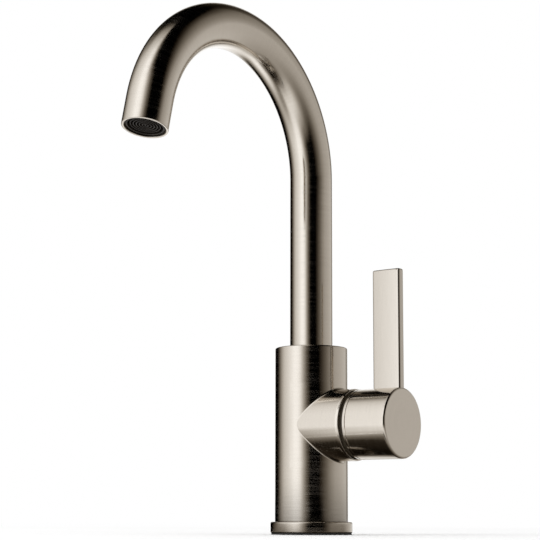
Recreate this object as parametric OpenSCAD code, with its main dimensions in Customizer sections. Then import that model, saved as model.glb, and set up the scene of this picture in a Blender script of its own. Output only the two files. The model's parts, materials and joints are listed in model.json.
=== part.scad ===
// Single-lever basin mixer tap with a swivelling tube spout and the valve on its side.
// The body's axis is Z, the spout points to -Y and the valve branch to +X. Z = 0 is the deck.

/* [Body] */
// Outer diameter of the upright body
body_d = 47.5; // [46:0.5:56]
// Rounding of the body's top edge
body_edge = 0.9; // [0.4:0.1:1.6]
// Height of the valve's axis above the deck
valve_z = 70; // [62:0.5:90]
// Height of the body's top above the valve's axis
body_rise = 51.5; // [50:0.5:80]
// How much smaller the branch's radius is than the body's
branch_inset = 0.5; // [0.3:0.05:0.7]
// How far the branch's open end stands out from the body's side
branch_out = 14.05; // [12.25:0.05:20]
// Chamfer on the branch's open end
branch_edge = 0.5; // [0.3:0.1:0.7]

/* [Base] */
// How far the base ring stands out from the body
ring_flange = 2.85; // [1.5:0.05:6]
// Height of the base ring's top above the deck
ring_h = 8.3; // [5:0.1:14]
// Rounding of the base ring's top edge
ring_edge = 0.5; // [0.2:0.1:1]
// Thickness of the rubber gasket on the deck
gasket_t = 1.1; // [0.6:0.1:2]
// How far the gasket's edge lies inside the ring's edge
gasket_inset = 0.5; // [0.2:0.1:1.5]
// How far the spigot inside the ring is smaller than the body, in radius
spigot_inset = 2; // [1.2:0.1:3]

/* [Deck fixings] */
// Tapping diameter of the hole for the M8 fixing stud
stud_hole_d = 6.8; // [5:0.1:8]
// Depth of the stud hole
stud_hole_l = 16; // [10:0.5:30]
// Distance of the stud hole from the body's axis
stud_x = 12; // [11:0.5:14]
// Tapping diameter of the two M10 inlets
inlet_hole_d = 9; // [8:0.1:10]
// Depth of the inlet threads
inlet_hole_l = 13; // [8:0.5:20]
// Half of the distance between the inlets
inlet_y = 7.4; // [7.2:0.1:8]
// Distance of the inlets behind the body's axis, away from the valve
inlet_x = 8; // [6.5:0.1:9]

/* [Spout] */
// Outer diameter of the spout's tube
tube_d = 28; // [27:0.1:30]
// Wall of the spout's tube
tube_wall = 1.5; // [1.2:0.1:1.6]
// Straight riser between the body and the arc
riser_l = 112; // [60:0.5:200]
// Radius of the arc at the middle of the tube
arc_r = 83; // [60:0.5:110]
// Angle that the tube turns through
arc_angle = 167; // [140:1:180]
// Straight end of the tube after the arc
tip_l = 18; // [16:0.5:40]

/* [Spout bearing] */
// Depth of the spout's socket below the body's top
socket_l = 32; // [30:0.5:33]
// Radius of the spout's turned foot in the socket
foot_r = 12.2; // [11.8:0.05:12.3]
// Running clearance between the foot and its socket, in radius
foot_gap = 0.08; // [0.05:0.01:0.1]
// Bore through the foot, in radius
foot_bore_r = 7.5; // [5:0.5:8]
// How far the foot reaches up into the tube
foot_plug_l = 12; // [8:0.5:20]
// Visible thickness of the slip ring between body and tube
slip_t = 0.5; // [0.4:0.05:0.8]
// Depth of the slip ring's sleeve in the body
sleeve_l = 5; // [3:0.5:7]
// Wall of the slip ring's sleeve
sleeve_wall = 1.4; // [1:0.1:1.6]
// Distance of the stop screw below the body's top
stop_drop = 10; // [9:0.5:12]
// Swivel to each side that the stop groove allows, in degrees
swivel_half = 55; // [20:1:80]

/* [Cartridge] */
// Radius of the cartridge's casing
casing_r = 17.5; // [17.3:0.05:17.6]
// Wall of the casing round the rotor
casing_wall = 2.1; // [1.8:0.1:2.2]
// Thickness of the cartridge's base plate
base_t = 4.6; // [4:0.1:5]
// Thickness of the fixed ceramic disc
fixed_disc_t = 3.9; // [3:0.1:4.5]
// Thickness of the moving ceramic disc
moving_disc_t = 2.6; // [2.2:0.1:3]
// Thickness of the slide that carries the moving disc
slide_t = 5.6; // [5.2:0.1:6]
// Gap left between faces that slide on each other
face_gap = 0.05; // [0.02:0.01:0.08]
// Length of the spindle's lower arm, from the pivot to its ball
arm_l = 9; // [8.8:0.05:9.2]
// Radius of the ball on the arm
ball_r = 2.5; // [2.2:0.05:2.6]
// Radius of the pivot pin
pin_r = 1.75; // [1.5:0.05:2]
// Side of the square spindle
spindle_w = 8; // [7.6:0.1:8.2]
// Tilt of the lever from shut to fully open, in degrees
tilt_max = 22; // [16:1:22]
// Depth of the pivot inside the branch's open end
pivot_depth = 10.8; // [10.4:0.1:11.2]

/* [Handle] */
// Gap between the branch's end and the handle
handle_gap = 3.6; // [3:0.1:5]
// Length of the handle's round body
knob_l = 29.2; // [28:0.2:40]
// How much smaller the handle's radius is than the branch's
knob_inset = 0.7; // [0.5:0.05:0.8]
// Rounding of the handle's edge beside the gap
knob_edge = 0.5; // [0.2:0.05:0.6]
// Room between the handle's hollow and the sphere that the branch's end lies in
sweep_gap = 0.4; // [0.3:0.05:0.6]
// Width of the lever's bar along the valve's axis
lever_w = 20.8; // [14:0.2:22]
// Thickness of the lever's bar
lever_t = 6.4; // [5:0.1:9]
// Height of the lever's top above the valve's axis
lever_h = 98.5; // [60:0.5:130]
// Depth of the lever's seat in the handle
lever_seat = 3; // [2:0.1:4]

/* [Hidden] */
$fn = 96;

nickel = "#b3a899";
brass = "#b08d4c";
steel = "#8f9194";
black = "#232220";
white_plastic = "#d9d7cf";
ceramic = "#e6e0d2";

eps = 0.01;
cut = 1;

// Body and base
body_r = body_d / 2;
body_h = valve_z + body_rise;
ring_r = body_r + ring_flange;
gasket_r = ring_r - gasket_inset;
spigot_r = body_r - spigot_inset;
spigot_gap = 0.05;
branch_r = body_r - branch_inset;
branch_reach = body_r + branch_out;

// Cartridge, measured outwards along the valve's axis from the pivot
arm_r = 1.8;
arm_gap = 0.4;
travel = arm_l * sin(tilt_max);
slide_u1 = -6.2;
slide_u0 = slide_u1 - slide_t;
moving_u0 = slide_u0 - moving_disc_t;
fixed_u1 = moving_u0 - face_gap;
fixed_u0 = fixed_u1 - fixed_disc_t;
seat_u = fixed_u0 - base_t;
flange_u0 = -5.5;
flange_u1 = -2.4;
shoulder_u = 1;
neck_u1 = 7;
pivot_x = branch_reach - pivot_depth;
seat_x = pivot_x + seat_u;
rim_u = pivot_depth;

cartridge_gap = 0.1;
turn_gap = 0.05;
casing_inner_r = casing_r - casing_wall;
flange_r = casing_inner_r - turn_gap;
neck_r = 10.8;
casing_neck_r = 13.4;
carrier_seal_r = 0.8;
carrier_seal_u = 3.9;
nut_r = 19.2;
thread_gap = 0.05;
collar_r = branch_r - 2.3;
collar_gap = 0.05;
slide_r = 12.4;
slide_rest = -travel / 2;
rail_y0 = 7;
rail_w = 2;
rail_h = 1.6;
rail_l = 10;
slide_peg_y = 9.2;
slide_peg_r = 1.5;
slide_peg_l = 1.1;
mixing_r = 6.6;
mixing_z = -2;
mixing_depth = 1.2;

// Ports in the cartridge and its seat, across the valve's axis
port_in_r = 2.8;
port_in_z = 3;
port_out_r = 3.4;
port_out_z = -7.5;
seal_w = 1.5;
seal_t = 1.4;
seal_gap = 0.05;
peg_r = 1.9;
peg_l = 2.5;
peg_y = 12;
peg_z = -7;

// Handle
knob_r = branch_r - knob_inset;
knob_u0 = rim_u + handle_gap;
knob_u1 = knob_u0 + knob_l;
swept_r = norm([rim_u - branch_edge, branch_r]);
hollow_r = swept_r + sweep_gap;
dome_r = swept_r - 1.2;
dome_wall = 1.7;
dome_half = 34;
sleeve_r = 7;
hub_u0 = hollow_r + 0.9;
hub_l = 11.5;
lever_mid_u = knob_u1 - lever_w / 2;

// Spout
tube_r = tube_d / 2;
tube_inner_r = tube_r - tube_wall;
socket_r = foot_r + foot_gap;
foot_z0 = body_h - socket_l + 1;
tube_z0 = body_h + slip_t + face_gap;
arc_z = tube_z0 + riser_l;
stop_z = body_h - stop_drop;
groove_r = foot_r - 1.7;
groove_w = 2.8;
stop_tip_r = 1.2;
stop_sweep = swivel_half + asin(stop_tip_r / groove_r) + 1;
o_ring_r = 1.1;
o_ring_z0 = foot_z0 + 8.5;
o_ring_step = 5;
o_ring_zs = [o_ring_z0, o_ring_z0 + o_ring_step];
bearing_z = foot_z0 + 2;
waterway_r = 3.2;
outlet_r = 3.5;
outlet_x = -3;

// Mouth and aerator, measured upstream from the mouth's rim
thread_z0 = 2.2;
thread_l = 10;
thread_r = tube_inner_r - 1;
housing_r = thread_r - 0.05;
housing_z0 = 1;
housing_wall = 1.2;
housing_z1 = thread_z0 + 8.5;
grille_z0 = housing_z0 + 0.5;
grille_z1 = thread_z0 + 2.1;
aerator_seal_z0 = housing_z1 + 0.05;
aerator_seal_t = 1.4;

// Puts a piece drawn along +Z from the pivot onto the valve's axis; its -X is then up and its Y stays
module on_valve() {
    translate([pivot_x, 0, valve_z]) rotate([0, 90, 0]) children();
}

// Puts a piece drawn upstream along +Z from the spout's mouth where the tube ends
module at_mouth() {
    translate([0, -arc_r * (1 - cos(arc_angle)), arc_z + arc_r * sin(arc_angle)])
        rotate([arc_angle - 180, 0, 0]) translate([0, 0, -tip_l]) children();
}

// Ring between two heights
module ring(r_out, r_in, z0, z1) {
    translate([0, 0, z0]) difference() {
        cylinder(r = r_out, h = z1 - z0);
        translate([0, 0, -cut]) cylinder(r = r_in, h = z1 - z0 + 2 * cut);
    }
}

// Half section of a cylinder from z0 to z1 whose upper edge is rounded with radius e
module rounded_section(r, z0, z1, e) {
    translate([0, z0]) square([r, z1 - z0 - e]);
    translate([0, z1 - e - eps]) square([r - e, e + eps]);
    intersection() {
        translate([r - e, z1 - e]) circle(r = e);
        translate([r - e - eps, z1 - e - eps]) square([e + 2 * eps, e + 2 * eps]);
    }
}

// O-ring lying across Z
module o_ring(r, z) {
    translate([0, 0, z]) rotate_extrude() translate([r, 0]) circle(r = o_ring_r, $fn = 32);
}

// Holes of both inlets and the outlet through a disc on the valve's axis
module ports(z0, z1) {
    for (side = [-1, 1])
        translate([-port_in_z, side * inlet_y, z0]) cylinder(r = port_in_r, h = z1 - z0, $fn = 48);
    translate([-port_out_z, 0, z0]) cylinder(r = port_out_r, h = z1 - z0, $fn = 48);
}

// Pegs that fix the cartridge's base in its seat
module pegs(gap) {
    for (side = [-1, 1])
        translate([-peg_z, side * peg_y, seat_u - peg_l - gap])
            cylinder(r = peg_r + gap, h = peg_l + gap + eps, $fn = 32);
}

// Waterways, threaded holes and sockets cut out of the casting
module body_cuts() {
    // cartridge bore, nut thread and collar seat
    on_valve() {
        translate([0, 0, seat_u]) cylinder(r = casing_r + cartridge_gap, h = rim_u - seat_u + cut);
        translate([0, 0, shoulder_u - 0.5]) cylinder(r = nut_r + thread_gap, h = rim_u - shoulder_u + cut);
        translate([0, 0, neck_u1 + 0.5]) cylinder(r = collar_r + collar_gap, h = rim_u - neck_u1 + cut);
    }
    on_valve() pegs(0.1);
    // hot and cold ways, from the inlets up and across to the seat
    for (side = [-1, 1]) {
        translate([-inlet_x, side * inlet_y, 0]) {
            cylinder(r = waterway_r, h = valve_z + port_in_z, $fn = 48);
            cylinder(d = inlet_hole_d, h = gasket_t + inlet_hole_l, $fn = 64);
        }
        translate([-inlet_x, side * inlet_y, valve_z + port_in_z])
            rotate([0, 90, 0]) cylinder(r = port_in_r, h = inlet_x + seat_x + eps, $fn = 48);
    }
    // mixed water, from the seat across and up to the spout
    translate([outlet_x, 0, valve_z + port_out_z])
        rotate([0, 90, 0]) cylinder(r = port_out_r, h = seat_x - outlet_x + eps, $fn = 48);
    translate([outlet_x, 0, valve_z + port_out_z])
        cylinder(r = outlet_r, h = foot_z0 - valve_z - port_out_z, $fn = 48);
    // stud hole
    translate([stud_x, 0, 0]) cylinder(d = stud_hole_d, h = gasket_t + stud_hole_l, $fn = 64);
    // spout socket, seat of the slip ring and hole of the stop screw
    translate([0, 0, foot_z0 - 1]) cylinder(r = socket_r, h = socket_l + cut);
    translate([0, 0, body_h - sleeve_l]) cylinder(r = socket_r + sleeve_wall + turn_gap, h = sleeve_l + cut);
    translate([0, socket_r - 1, stop_z]) rotate([-90, 0, 0]) cylinder(r = 2.5, h = body_r, $fn = 48);
}

module body() {
    color(nickel) difference() {
        union() {
            rotate_extrude() {
                rounded_section(body_r, ring_h, body_h, body_edge);
                translate([0, gasket_t]) square([spigot_r, ring_h - gasket_t + eps]);
            }
            on_valve() rotate_extrude()
                polygon([[0, -pivot_x], [branch_r, -pivot_x], [branch_r, rim_u - branch_edge],
                         [branch_r - branch_edge, rim_u], [0, rim_u]]);
        }
        body_cuts();
    }
}

module base_ring() {
    color(nickel) rotate_extrude() difference() {
        rounded_section(ring_r, gasket_t, ring_h, ring_edge);
        translate([-cut, 0]) square([spigot_r + spigot_gap + cut, ring_h + cut]);
    }
}

// Rubber gasket with openings for the stud and the hoses
module base_gasket() {
    color(black) difference() {
        cylinder(r = gasket_r, h = gasket_t);
        translate([stud_x, 0, -cut]) cylinder(d = stud_hole_d + 1.2, h = gasket_t + 2 * cut, $fn = 48);
        for (side = [-1, 1])
            translate([-inlet_x, side * inlet_y, -cut])
                cylinder(d = inlet_hole_d + 1.6, h = gasket_t + 2 * cut, $fn = 48);
    }
}

// Plastic bearing in the body's mouth, with the thin flange that the tube turns on
module upper_bearing_ring() {
    sleeve_in = foot_r + turn_gap;
    color(black) union() {
        ring(socket_r + sleeve_wall, sleeve_in, body_h - sleeve_l, body_h + slip_t);
        ring(tube_r - 0.1, sleeve_in, body_h, body_h + slip_t);
    }
}

// Stop screw from behind: its tip runs in the foot's groove
module spout_screw() {
    tip_y = groove_r + 0.3;
    color(steel) translate([0, 0, stop_z]) rotate([-90, 0, 0]) difference() {
        union() {
            translate([0, 0, tip_y]) cylinder(r = stop_tip_r, h = body_r - tip_y - 2, $fn = 32);
            translate([0, 0, socket_r + 0.3]) cylinder(r = 2.45, h = body_r - socket_r - 1.3, $fn = 48);
        }
        translate([0, 0, body_r - 3.5]) cylinder(r = 1.15, h = 3.5, $fn = 6);
    }
}

module cartridge_base() {
    color(white_plastic) on_valve() difference() {
        union() {
            translate([0, 0, seat_u]) cylinder(r = casing_r, h = base_t);
            pegs(0);
        }
        ports(seat_u - cut, fixed_u0 + cut);
        seal_grooves(seal_gap);
    }
}

// Rings that seal the three ports against the seat; gap widens them into their grooves
module seal_grooves(gap) {
    for (side = [-1, 1])
        translate([-port_in_z, side * inlet_y, 0])
            ring(port_in_r + 0.4 + seal_w + gap, port_in_r + 0.4 - gap, seat_u - gap, seat_u + seal_t);
    translate([-port_out_z, 0, 0])
        ring(port_out_r + 0.4 + seal_w + gap, port_out_r + 0.4 - gap, seat_u - gap, seat_u + seal_t);
}

module port_seals() {
    color(black) on_valve() seal_grooves(0);
}

module fixed_disc() {
    color(ceramic) on_valve() difference() {
        translate([0, 0, fixed_u0]) cylinder(r = flange_r, h = fixed_disc_t);
        ports(fixed_u0 - cut, fixed_u1 + cut);
    }
}

// Cup that holds the discs and the rotor
module cartridge_casing() {
    color(white_plastic) on_valve() difference() {
        union() {
            translate([0, 0, fixed_u0]) cylinder(r = casing_r, h = shoulder_u - fixed_u0);
            translate([0, 0, shoulder_u - eps]) cylinder(r = casing_neck_r, h = neck_u1 - shoulder_u + eps);
        }
        translate([0, 0, fixed_u0 - cut])
            cylinder(r = casing_inner_r, h = flange_u1 + face_gap - fixed_u0 + cut);
        translate([0, 0, flange_u1 - cut]) cylinder(r = neck_r + turn_gap, h = neck_u1 - flange_u1 + 2 * cut);
    }
}

// Threaded ring that clamps the casing, with four notches for its key
module cartridge_nut() {
    notch_w = 4;
    notch_l = 2;
    color(brass) on_valve() difference() {
        ring(nut_r, casing_neck_r + thread_gap, shoulder_u, neck_u1);
        for (turn = [0, 90])
            rotate([0, 0, turn]) translate([-nut_r - cut, -notch_w / 2, neck_u1 - notch_l])
                cube([2 * (nut_r + cut), notch_w, notch_l + cut]);
    }
}

// Domed cover of the gap: a sphere about the pivot, so the handle clears it at every tilt
module dome_collar() {
    foot_u = neck_u1 + 0.6;
    color(black) on_valve() difference() {
        intersection() {
            translate([0, 0, foot_u]) cylinder(r = collar_r, h = dome_r);
            sphere(r = dome_r, $fn = 128);
        }
        sphere(r = dome_r - dome_wall, $fn = 128);
        cylinder(r = dome_r * sin(dome_half), h = dome_r + cut);
    }
}

// Slots of the rotor for the spindle, its arm and the rails of the slide
module carrier_cuts() {
    slot_w = spindle_w + 0.2;
    low = 7.7;
    high = 5.1;
    slot_u0 = -4.3;
    translate([-high, -slot_w / 2, slot_u0]) cube([low + high, slot_w, neck_u1 - slot_u0 + cut]);
    arm_w = 2 * (arm_r + arm_gap);
    translate([-travel - arm_r - arm_gap, -arm_w / 2, flange_u0 - cut])
        cube([travel + 2 * (arm_r + arm_gap), arm_w, -flange_u0]);
    for (side = [-1, 1])
        translate([0, side * (rail_y0 + rail_w / 2), 0])
            translate([-(rail_l + travel) / 2 - 0.5, -rail_w / 2 - turn_gap, flange_u0 - cut])
                cube([rail_l + travel + 1, rail_w + 2 * turn_gap, rail_h + slide_u1 - flange_u0 + cut + 0.3]);
}

// Rotor: turns in the casing for the temperature and carries the spindle's pivot
module spindle_carrier() {
    o_groove_r = neck_r - 2 * carrier_seal_r - 0.05;
    color(white_plastic) on_valve() difference() {
        union() {
            translate([0, 0, flange_u0]) cylinder(r = flange_r, h = flange_u1 - flange_u0);
            translate([0, 0, flange_u1 - eps]) cylinder(r = neck_r, h = neck_u1 - flange_u1 + 0.5);
        }
        carrier_cuts();
        rotate([90, 0, 0]) translate([0, 0, -neck_r - cut])
            cylinder(r = pin_r, h = 2 * (neck_r + cut), $fn = 48);
        translate([0, 0, carrier_seal_u])
            ring(neck_r + cut, o_groove_r, -carrier_seal_r - 0.1, carrier_seal_r + 0.1);
    }
}

module carrier_o_ring() {
    color(black) on_valve() translate([0, 0, carrier_seal_u])
        rotate_extrude() translate([neck_r - carrier_seal_r, 0]) circle(r = carrier_seal_r, $fn = 32);
}

module pivot_pin() {
    pin_l = 2 * neck_r - 1.2;
    color(steel) on_valve() rotate([90, 0, 0]) translate([0, 0, -pin_l / 2])
        cylinder(r = pin_r, h = pin_l, $fn = 48);
}

// Slide: the spindle's ball pushes it across the discs
module disc_carrier() {
    pocket_r = ball_r + 0.1;
    color(white_plastic) on_valve() difference() {
        translate([-slide_rest, 0, 0]) union() {
            translate([0, 0, slide_u0]) cylinder(r = slide_r, h = slide_t);
            for (side = [-1, 1])
                translate([-rail_l / 2, side * (rail_y0 + rail_w / 2) - rail_w / 2, slide_u1 - eps])
                    cube([rail_l, rail_w, rail_h + eps]);
            slide_pegs(0);
        }
        translate([0, 0, slide_u0 - cut]) cylinder(r = pocket_r, h = slide_t + 2 * cut, $fn = 48);
        translate([0, 0, slide_u1 - 2]) cylinder(r1 = pocket_r, r2 = pocket_r + 1.6, h = 2 + eps, $fn = 48);
    }
}

// Pegs that take the moving disc along with the slide
module slide_pegs(gap) {
    for (side = [-1, 1])
        translate([0, side * slide_peg_y, slide_u0 - slide_peg_l - gap])
            cylinder(r = slide_peg_r + gap, h = slide_peg_l + gap + eps, $fn = 32);
}

// Moving disc: its hollow joins the inlets to the outlet when the slide goes up
module moving_disc() {
    color(ceramic) on_valve() translate([-slide_rest, 0, 0]) difference() {
        translate([0, 0, moving_u0]) cylinder(r = slide_r, h = moving_disc_t);
        translate([-mixing_z, 0, moving_u0 - cut]) cylinder(r = mixing_r, h = cut + mixing_depth);
        slide_pegs(0.05);
    }
}

// Square spindle with its pivot bore, arm and ball
module spindle() {
    inboard = -2.5;
    color(steel) on_valve() difference() {
        union() {
            translate([-spindle_w / 2, -spindle_w / 2, inboard])
                cube([spindle_w, spindle_w, hub_u0 + hub_l - inboard]);
            translate([0, 0, -arm_l]) cylinder(r = arm_r, h = arm_l + inboard + eps, $fn = 48);
            translate([0, 0, -arm_l]) sphere(r = ball_r, $fn = 48);
        }
        rotate([90, 0, 0]) translate([0, 0, -spindle_w])
            cylinder(r = pin_r + 0.05, h = 2 * spindle_w, $fn = 48);
    }
}

// Plastic sleeve that fits the square spindle to the handle's round bore
module spindle_sleeve() {
    square_w = spindle_w + 0.1;
    color(white_plastic) on_valve() difference() {
        translate([0, 0, hub_u0]) cylinder(r = sleeve_r, h = hub_l);
        translate([-square_w / 2, -square_w / 2, hub_u0 - cut]) cube([square_w, square_w, hub_l + 2 * cut]);
        set_screw_hole(2.55, 0);
    }
}

// Radial hole on the handle's rear side, from the spindle outwards
module set_screw_hole(r, from) {
    translate([0, from, hub_u0 + hub_l / 2]) rotate([-90, 0, 0]) cylinder(r = r, h = knob_r + cut, $fn = 48);
}

// Round handle, hollowed by a sphere about the pivot
module handle_knob() {
    color(nickel) on_valve() difference() {
        translate([0, 0, knob_u1]) mirror([0, 0, 1])
            rotate_extrude() rounded_section(knob_r, 0, knob_l, knob_edge);
        sphere(r = hollow_r, $fn = 128);
        cylinder(r = sleeve_r + 0.05, h = hub_u0 + hub_l + 0.3);
        set_screw_hole(2.5, 0);
        set_screw_hole(3.05, knob_r - 3.2);
        lever_block(0.02);
        lever_screw_holes(2.05, 3.5);
    }
}

// Block of the lever's bar, widened by gap for its seat in the handle
module lever_block(gap) {
    seat_z = knob_r - lever_seat - gap;
    translate([-lever_h, -lever_t / 2 - gap, knob_u1 - lever_w - gap])
        cube([lever_h - seat_z, lever_t + 2 * gap, lever_w + gap + (gap > 0 ? cut : 0)]);
}

// Shank and head of both lever screws, which go in through the handle's bore
module lever_screw_holes(shank_r, head_r) {
    for (u = [hub_u0 + 2.6, hub_u0 + hub_l - 2.4])
        translate([0, 0, u]) rotate([0, -90, 0]) {
            cylinder(r = shank_r, h = knob_r + 6, $fn = 48);
            cylinder(r = head_r, h = sleeve_r + 3, $fn = 48);
        }
}

module lever_bar() {
    color(nickel) on_valve() difference() {
        lever_block(0);
        lever_screw_holes(2.05, 2.05);
    }
}

module lever_screws() {
    color(steel) on_valve() for (u = [hub_u0 + 2.6, hub_u0 + hub_l - 2.4])
        translate([0, 0, u]) rotate([0, -90, 0]) difference() {
            union() {
                translate([0, 0, sleeve_r + 0.3]) cylinder(r = 2, h = knob_r + 5.5 - sleeve_r, $fn = 48);
                translate([0, 0, sleeve_r + 0.3]) cylinder(r = 3.4, h = 2.7, $fn = 48);
            }
            translate([0, 0, sleeve_r]) cylinder(r = 1.2, h = 1.9, $fn = 6);
        }
}

module handle_set_screw() {
    tip = spindle_w / 2 + 0.02;
    screw_l = 10;
    color(steel) on_valve() translate([0, tip, hub_u0 + hub_l / 2]) rotate([-90, 0, 0]) difference() {
        cylinder(r = 2.45, h = screw_l, $fn = 48);
        translate([0, 0, screw_l - 2.5]) cylinder(r = 1.35, h = 3, $fn = 6);
    }
}

// Plug that hides the set screw, a little below the handle's surface
module set_screw_plug() {
    plug_t = 2.6;
    color(black) on_valve() translate([0, knob_r - 0.35 - plug_t, hub_u0 + hub_l / 2])
        rotate([-90, 0, 0]) cylinder(r = 3, h = plug_t, $fn = 48);
}

// Solid rod along the spout's line: riser and arc
module spout_line(r, below) {
    translate([0, 0, tube_z0 - below]) cylinder(r = r, h = riser_l + below);
    translate([0, -arc_r, arc_z]) rotate([90, 0, 90])
        rotate_extrude(angle = arc_angle, $fn = 180) translate([arc_r, 0]) circle(r = r, $fn = 96);
}

module spout_tube() {
    color(nickel) difference() {
        spout_line(tube_r, 0);
        spout_line(tube_inner_r, cut);
    }
}

// Turned end of the spout, brazed to the tube and polished flush, with the aerator's thread inside
module spout_mouth() {
    color(nickel) at_mouth() difference() {
        cylinder(r = tube_r, h = tip_l);
        translate([0, 0, -cut]) cylinder(r = tube_inner_r, h = thread_z0 + cut);
        cylinder(r = thread_r, h = thread_z0 + thread_l);
        cylinder(r = thread_r - 2.2, h = tip_l + cut);
    }
}

// Turned foot brazed into the tube; it swivels in the body's socket
module spout_foot() {
    color(brass) difference() {
        union() {
            translate([0, 0, foot_z0]) cylinder(r = foot_r, h = tube_z0 - foot_z0 + eps);
            translate([0, 0, tube_z0]) cylinder(r = tube_inner_r, h = foot_plug_l);
        }
        translate([0, 0, foot_z0 - cut]) cylinder(r = foot_bore_r, h = socket_l + foot_plug_l + 4 * cut);
        for (z = o_ring_zs) ring(foot_r + cut, foot_r - 2 * o_ring_r, z - 1.3, z + 1.3);
        ring(foot_r + cut, foot_r - 1.3, bearing_z, bearing_z + 3);
        translate([0, 0, stop_z - groove_w / 2]) rotate([0, 0, 90 - stop_sweep])
            rotate_extrude(angle = 2 * stop_sweep)
                translate([groove_r, 0]) square([foot_r - groove_r + cut, groove_w]);
    }
}

// Split plastic ring that centres the foot's lower end
module lower_bearing_ring() {
    color(white_plastic) ring(foot_r + 0.04, foot_r - 1.3, bearing_z + 0.1, bearing_z + 2.9);
}

module spout_o_rings() {
    color(black) for (z = o_ring_zs) o_ring(foot_r - o_ring_r, z);
}

// Aerator's black cup, screwed into the mouth
module aerator_housing() {
    color(black) at_mouth() union() {
        ring(housing_r, housing_r - housing_wall, housing_z0, housing_z1);
        ring(housing_r, housing_r - 1.9, thread_z0 + 2.2, thread_z0 + 3.2);
    }
}

// Flow-straightening rings on thin spokes, which end in the outermost ring
module aerator_grille() {
    rings = 5;
    wall = 0.75;
    step = (housing_r - housing_wall - 0.2 - wall / 2) / rings;
    color(black) at_mouth() union() {
        for (i = [1:rings]) ring(i * step + wall / 2, i * step - wall / 2, grille_z0, grille_z1);
        translate([0, 0, grille_z0 + 0.2]) cylinder(r = wall, h = thread_z0, $fn = 32);
        for (turn = [0:60:120])
            rotate([0, 0, turn]) translate([-rings * step, -wall / 2, grille_z0 + 0.9])
                cube([2 * rings * step, wall, thread_z0 - 0.9]);
    }
}

// Two perforated discs that break up the stream
module aerator_screens() {
    color(steel) at_mouth() for (z = [thread_z0 + 3.3, thread_z0 + 5]) translate([0, 0, z]) difference() {
        cylinder(r = housing_r - housing_wall - 0.1, h = 0.4);
        for (i = [1:3])
            for (k = [0:6 * i - 1])
                rotate([0, 0, k * 60 / i]) translate([2.6 * i, 0, -cut]) cylinder(r = 0.7, h = 3, $fn = 16);
    }
}

// Puck that limits the flow, with its ring of holes
module flow_regulator() {
    color(white_plastic) at_mouth() translate([0, 0, thread_z0 + 5.9]) difference() {
        cylinder(r = housing_r - housing_wall - 0.1, h = 2.5);
        for (k = [0:7]) rotate([0, 0, 45 * k]) translate([6, 0, -cut]) cylinder(r = 1.1, h = 5, $fn = 24);
    }
}

module aerator_seal() {
    color(black) at_mouth() ring(housing_r, housing_r - 2, aerator_seal_z0, aerator_seal_z0 + aerator_seal_t);
}

body();
base_ring();
base_gasket();
upper_bearing_ring();
spout_screw();
cartridge_base();
port_seals();
fixed_disc();
cartridge_casing();
cartridge_nut();
dome_collar();
spindle_carrier();
pivot_pin();
carrier_o_ring();
disc_carrier();
moving_disc();
spindle();
spindle_sleeve();
handle_knob();
lever_bar();
lever_screws();
handle_set_screw();
set_screw_plug();
spout_tube();
spout_mouth();
spout_foot();
lower_bearing_ring();
spout_o_rings();
aerator_housing();
aerator_grille();
aerator_screens();
flow_regulator();
aerator_seal();
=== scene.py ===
"""Basin mixer tap: fine shapes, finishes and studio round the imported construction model.

Lengths are in metres. The body's axis is Z, the spout points to -Y and the valve's axis is +X.
"""

import sys

import json
import logging
import math
from dataclasses import dataclass, field
from enum import Enum, auto
from functools import cache
from typing import Any, Callable, ClassVar, Iterable, Sequence

import bmesh
import bpy
from bmesh.types import BMEdge, BMesh, BMVert
from bpy.types import ID, ColorRamp, Material, Node, NodeSocket, Scene
from mathutils import Matrix, Vector

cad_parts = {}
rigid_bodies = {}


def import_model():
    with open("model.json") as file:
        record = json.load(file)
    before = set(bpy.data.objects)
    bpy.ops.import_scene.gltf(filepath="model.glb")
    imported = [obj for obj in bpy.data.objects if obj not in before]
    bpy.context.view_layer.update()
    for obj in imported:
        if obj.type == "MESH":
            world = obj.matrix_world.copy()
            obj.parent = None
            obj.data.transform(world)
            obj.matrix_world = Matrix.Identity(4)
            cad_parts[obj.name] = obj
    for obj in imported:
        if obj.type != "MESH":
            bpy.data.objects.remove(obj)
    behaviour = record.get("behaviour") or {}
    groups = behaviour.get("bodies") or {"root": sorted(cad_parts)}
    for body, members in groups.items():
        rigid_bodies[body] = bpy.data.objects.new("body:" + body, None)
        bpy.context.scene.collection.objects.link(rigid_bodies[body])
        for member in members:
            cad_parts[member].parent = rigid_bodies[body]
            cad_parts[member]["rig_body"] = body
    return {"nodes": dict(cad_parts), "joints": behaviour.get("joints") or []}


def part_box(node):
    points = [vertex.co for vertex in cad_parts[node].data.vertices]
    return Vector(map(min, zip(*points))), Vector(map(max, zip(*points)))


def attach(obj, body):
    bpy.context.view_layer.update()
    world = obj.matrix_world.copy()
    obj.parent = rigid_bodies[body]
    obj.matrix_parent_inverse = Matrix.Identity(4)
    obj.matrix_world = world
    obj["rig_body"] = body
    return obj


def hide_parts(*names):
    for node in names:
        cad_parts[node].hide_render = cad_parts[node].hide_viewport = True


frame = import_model()
log = logging.getLogger("tap")

MM = 0.001
COLUMNS = 192
COLUMN = math.tau / COLUMNS
ROUND_STEPS = 5
MERGE = 1e-6
LEVEL = 0.01 * MM
SHARP = math.radians(50)
WHITE = (1.0, 1.0, 1.0)
BLACK = (0.0, 0.0, 0.0)
# turns that bring +Z to +X and to +Y
TO_X = Matrix.Rotation(math.pi / 2, 4, "Y")
TO_Y = Matrix.Rotation(-math.pi / 2, 4, "X")
# radii of the rounded edges that many pieces share
HAIR = 0.15 * MM
FINE = 0.2 * MM
SOFT = 0.3 * MM
BROAD = 0.4 * MM

Colour = tuple[float, float, float]
Input = Any
Move = Callable[[BMVert], Vector]
Stops = tuple[tuple[float, float], ...]


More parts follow.
